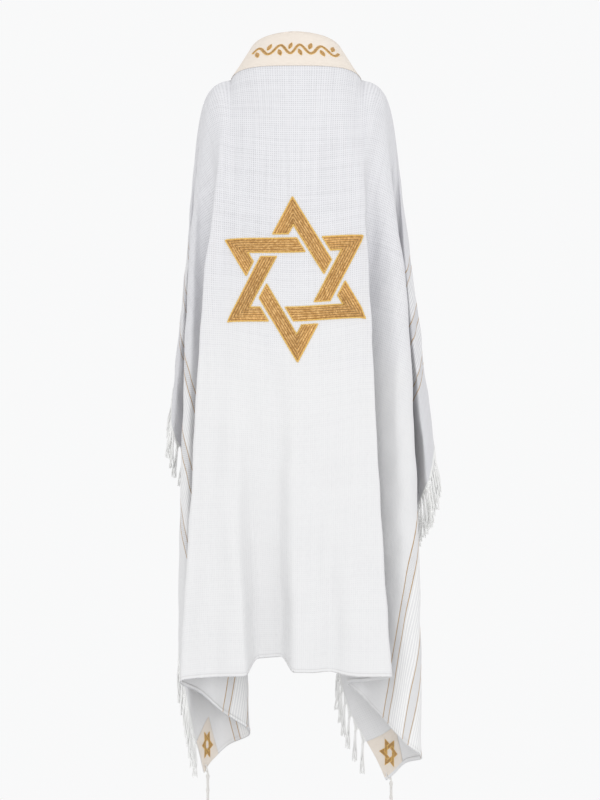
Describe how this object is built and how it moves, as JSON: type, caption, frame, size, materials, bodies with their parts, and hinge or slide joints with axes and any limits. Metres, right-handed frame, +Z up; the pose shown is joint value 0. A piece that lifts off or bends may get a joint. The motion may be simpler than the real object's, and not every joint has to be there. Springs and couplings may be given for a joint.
{
  "type": "tallit prayer shawl",
  "caption": "Fringed white prayer shawl worn over the shoulders, hanging in deep folds, with a collar band, a woven star on the back, corner patches and knotted corner cords.",
  "frame": {"origin": "between the two shoulders that hold the shawl up, 13 cm below the top edge of the collar at the nape", "axes": "+Z up, -Y towards the back panel with the large star, +Y towards the open front, +X to the wearer's right"},
  "size_m": [0.584, 0.3746, 1.8299],
  "materials": {
    "white_wool": "matt, lightly shaded open weave",
    "cream_cotton": "matt, close weave",
    "gold_thread": "satin stitch with a soft gold sheen"
  },
  "bodies": {
    "root": {"cloth": "white_wool", "collar_band": "cream_cotton", "patch_top_left_outer": "cream_cotton", "patch_top_left_inner": "cream_cotton", "patch_top_right_outer": "cream_cotton", "patch_top_right_inner": "cream_cotton", "patch_bottom_left_outer": "cream_cotton", "patch_bottom_left_inner": "cream_cotton", "patch_bottom_right_outer": "cream_cotton", "patch_bottom_right_inner": "cream_cotton", "star_ribbon_1": "gold_thread", "star_ribbon_2": "gold_thread", "star_ribbon_3": "gold_thread", "star_ribbon_4": "gold_thread", "star_ribbon_5": "gold_thread", "star_ribbon_6": "gold_thread", "small_star_top_left_outer": "gold_thread", "small_star_top_left_inner": "gold_thread", "small_star_top_right_outer": "gold_thread", "small_star_top_right_inner": "gold_thread", "small_star_bottom_left_outer": "gold_thread", "small_star_bottom_left_inner": "gold_thread", "small_star_bottom_right_outer": "gold_thread", "small_star_bottom_right_inner": "gold_thread", "collar_vine": "gold_thread", "collar_leaf_1": "gold_thread", "collar_leaf_2": "gold_thread", "collar_leaf_3": "gold_thread", "collar_leaf_4": "gold_thread", "collar_leaf_5": "gold_thread", "collar_leaf_6": "gold_thread", "collar_leaf_7": "gold_thread", "collar_leaf_8": "gold_thread", "fringe_left": "white_wool", "fringe_right": "white_wool", "tzitzit_top_left": "cream_cotton", "tzitzit_top_right": "cream_cotton", "tzitzit_bottom_left": "cream_cotton", "tzitzit_bottom_right": "cream_cotton"}
  },
  "joints": []
}
